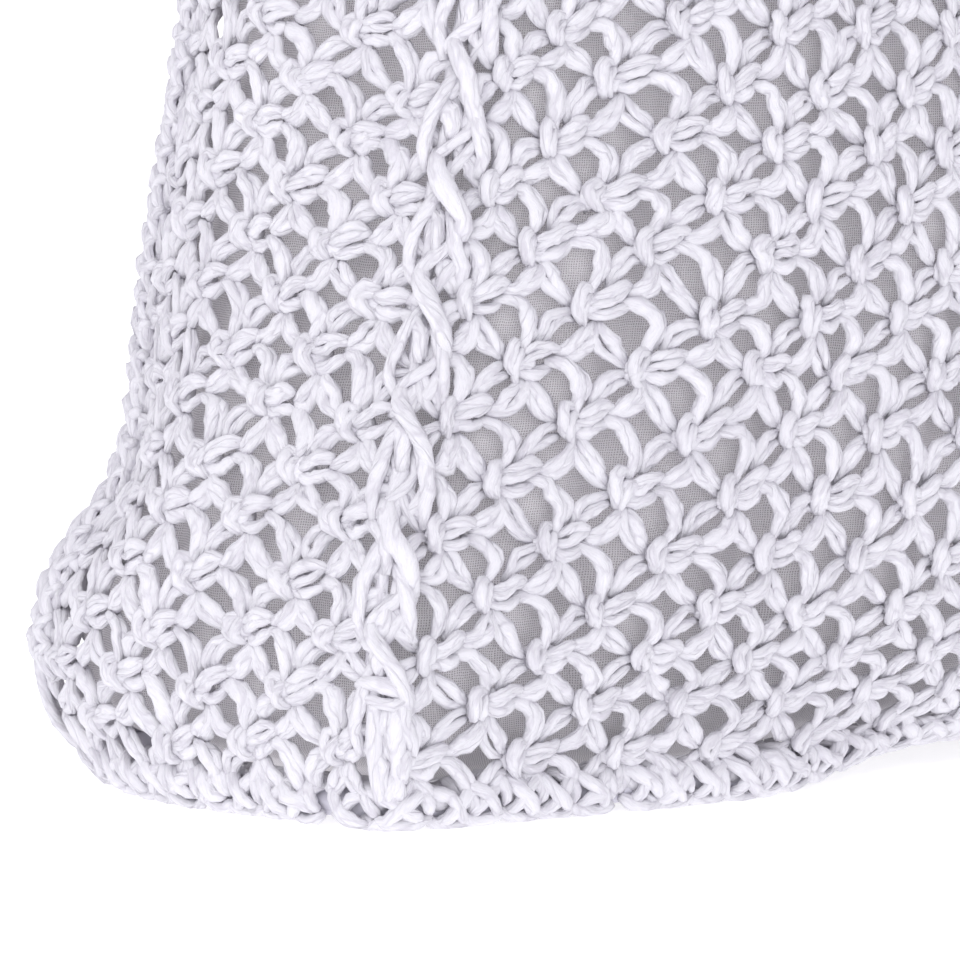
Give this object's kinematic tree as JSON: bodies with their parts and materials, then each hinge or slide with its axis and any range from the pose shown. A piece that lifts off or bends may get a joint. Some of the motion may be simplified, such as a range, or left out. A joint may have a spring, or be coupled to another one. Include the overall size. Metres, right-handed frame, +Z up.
{
  "type": "straw bag",
  "caption": "Crocheted straw handbag: openwork star net over a woven lining, corded corner seams, deep base and arched handles.",
  "frame": {"origin": "on the ground under the middle of the base", "axes": "+Z up, +X along the length to the right, +Y from the front to the back"},
  "size_m": [0.4012, 0.174, 0.389],
  "materials": {
    "straw_yarn": "crocheted white paper straw yarn, slightly waxy",
    "lining_cloth": "plain woven grey-beige lining cloth, matt"
  },
  "bodies": {
    "root": {"front_panel": "straw_yarn", "back_panel": "straw_yarn", "left_gusset": "straw_yarn", "right_gusset": "straw_yarn", "front_right_seam": "straw_yarn", "back_right_seam": "straw_yarn", "back_left_seam": "straw_yarn", "front_left_seam": "straw_yarn", "base_edge": "straw_yarn", "base_panel": "straw_yarn", "rim_band": "straw_yarn", "lining": "lining_cloth", "front_handle": "straw_yarn", "back_handle": "straw_yarn"}
  },
  "joints": []
}
